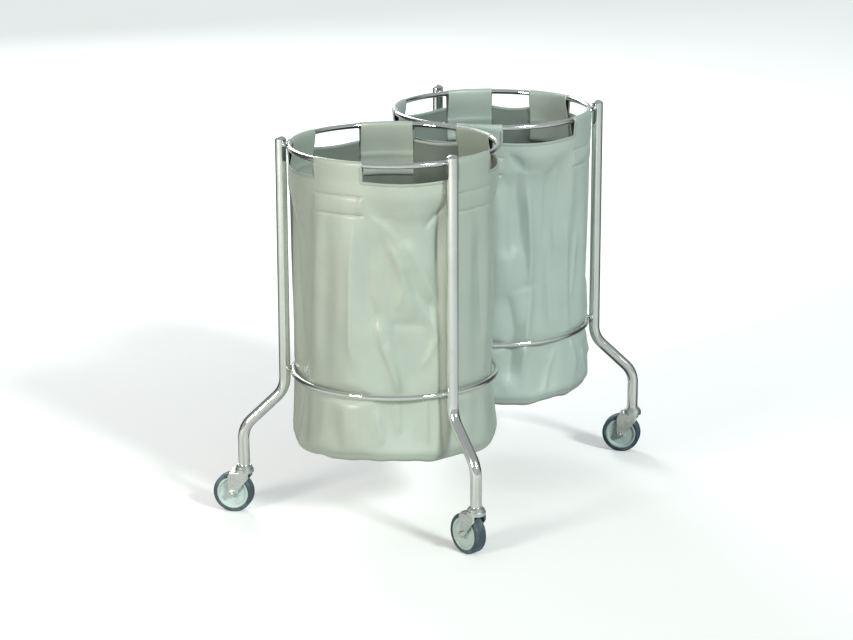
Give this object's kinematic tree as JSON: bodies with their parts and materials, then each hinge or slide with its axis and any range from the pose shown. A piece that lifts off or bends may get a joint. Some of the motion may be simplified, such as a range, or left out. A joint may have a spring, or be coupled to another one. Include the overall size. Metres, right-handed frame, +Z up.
{
  "type": "linen trolley",
  "caption": "Hospital laundry trolley: two round cloth bags hung side by side in a chromed tube frame on swivel casters.",
  "frame": {"origin": "on the floor, midway between the four legs", "axes": "+X along the pair of hoops, +Y to the rear, +Z up"},
  "size_m": [0.9281, 0.6779, 0.855],
  "materials": {
    "chrome_tube": "bright chrome plate",
    "weld": "plated weld bead",
    "bag_cloth_left": "satin coated cloth",
    "bag_cloth_right": "satin coated cloth",
    "zinc_plate": "bright zinc plate",
    "bearing_steel": "ground steel",
    "hub_plastic": "moulded grey plastic",
    "tyre_rubber": "dark blue-grey rubber",
    "socket_plastic": "black moulded plastic"
  },
  "bodies": {
    "frame": {"top_hoop_left": "chrome_tube", "lower_hoop_left": "chrome_tube", "bag_wall_left": "bag_cloth_left", "bag_base_left": "bag_cloth_left", "bag_tabs_left": "bag_cloth_left", "top_hoop_right": "chrome_tube", "lower_hoop_right": "chrome_tube", "bag_wall_right": "bag_cloth_right", "bag_base_right": "bag_cloth_right", "bag_tabs_right": "bag_cloth_right", "weld_beads": "weld", "leg_left_front": "chrome_tube", "post_cap_left_front": "chrome_tube", "stem_socket_left_front": "socket_plastic", "swivel_stem_left_front": "zinc_plate", "swivel_cap_left_front": "zinc_plate", "leg_left_rear": "chrome_tube", "post_cap_left_rear": "chrome_tube", "stem_socket_left_rear": "socket_plastic", "swivel_stem_left_rear": "zinc_plate", "swivel_cap_left_rear": "zinc_plate", "leg_right_front": "chrome_tube", "post_cap_right_front": "chrome_tube", "stem_socket_right_front": "socket_plastic", "swivel_stem_right_front": "zinc_plate", "swivel_cap_right_front": "zinc_plate", "leg_right_rear": "chrome_tube", "post_cap_right_rear": "chrome_tube", "stem_socket_right_rear": "socket_plastic", "swivel_stem_right_rear": "zinc_plate", "swivel_cap_right_rear": "zinc_plate"},
    "caster_left_front": {"fork_left_front": "zinc_plate", "swivel_balls_left_front": "bearing_steel", "axle_bolt_left_front": "zinc_plate", "axle_nut_left_front": "zinc_plate"},
    "wheel_left_front": {"wheel_hub_left_front": "hub_plastic", "wheel_bush_left_front": "bearing_steel", "tyre_left_front": "tyre_rubber"},
    "caster_left_rear": {"fork_left_rear": "zinc_plate", "swivel_balls_left_rear": "bearing_steel", "axle_bolt_left_rear": "zinc_plate", "axle_nut_left_rear": "zinc_plate"},
    "wheel_left_rear": {"wheel_hub_left_rear": "hub_plastic", "wheel_bush_left_rear": "bearing_steel", "tyre_left_rear": "tyre_rubber"},
    "caster_right_front": {"fork_right_front": "zinc_plate", "swivel_balls_right_front": "bearing_steel", "axle_bolt_right_front": "zinc_plate", "axle_nut_right_front": "zinc_plate"},
    "wheel_right_front": {"wheel_hub_right_front": "hub_plastic", "wheel_bush_right_front": "bearing_steel", "tyre_right_front": "tyre_rubber"},
    "caster_right_rear": {"fork_right_rear": "zinc_plate", "swivel_balls_right_rear": "bearing_steel", "axle_bolt_right_rear": "zinc_plate", "axle_nut_right_rear": "zinc_plate"},
    "wheel_right_rear": {"wheel_hub_right_rear": "hub_plastic", "wheel_bush_right_rear": "bearing_steel", "tyre_right_rear": "tyre_rubber"}
  },
  "joints": [
    {"name": "swivel_left_front", "type": "hinge", "parent": "frame", "child": "caster_left_front", "pos_m": [-0.4002, -0.29272, 0.1], "axis": [0, 0, 1], "continuous": true},
    {"name": "wheel_spin_left_front", "type": "hinge", "parent": "caster_left_front", "child": "wheel_left_front", "pos_m": [-0.39124, -0.26938, 0.045], "axis": [-0.9336, 0.3584, 0], "continuous": true},
    {"name": "swivel_left_rear", "type": "hinge", "parent": "frame", "child": "caster_left_rear", "pos_m": [-0.4002, 0.29272, 0.1], "axis": [0, 0, 1], "continuous": true},
    {"name": "wheel_spin_left_rear", "type": "hinge", "parent": "caster_left_rear", "child": "wheel_left_rear", "pos_m": [-0.40709, 0.31675, 0.045], "axis": [-0.9613, -0.2756, 0], "continuous": true},
    {"name": "swivel_right_front", "type": "hinge", "parent": "frame", "child": "caster_right_front", "pos_m": [0.4002, -0.29272, 0.1], "axis": [0, 0, 1], "continuous": true},
    {"name": "wheel_spin_right_front", "type": "hinge", "parent": "caster_right_front", "child": "wheel_right_front", "pos_m": [0.39331, -0.26869, 0.045], "axis": [-0.9613, -0.2756, 0], "continuous": true},
    {"name": "swivel_right_rear", "type": "hinge", "parent": "frame", "child": "caster_right_rear", "pos_m": [0.4002, 0.29272, 0.1], "axis": [0, 0, 1], "continuous": true},
    {"name": "wheel_spin_right_rear", "type": "hinge", "parent": "caster_right_rear", "child": "wheel_right_rear", "pos_m": [0.4002, 0.31772, 0.045], "axis": [-1, 0, 0], "continuous": true}
  ]
}
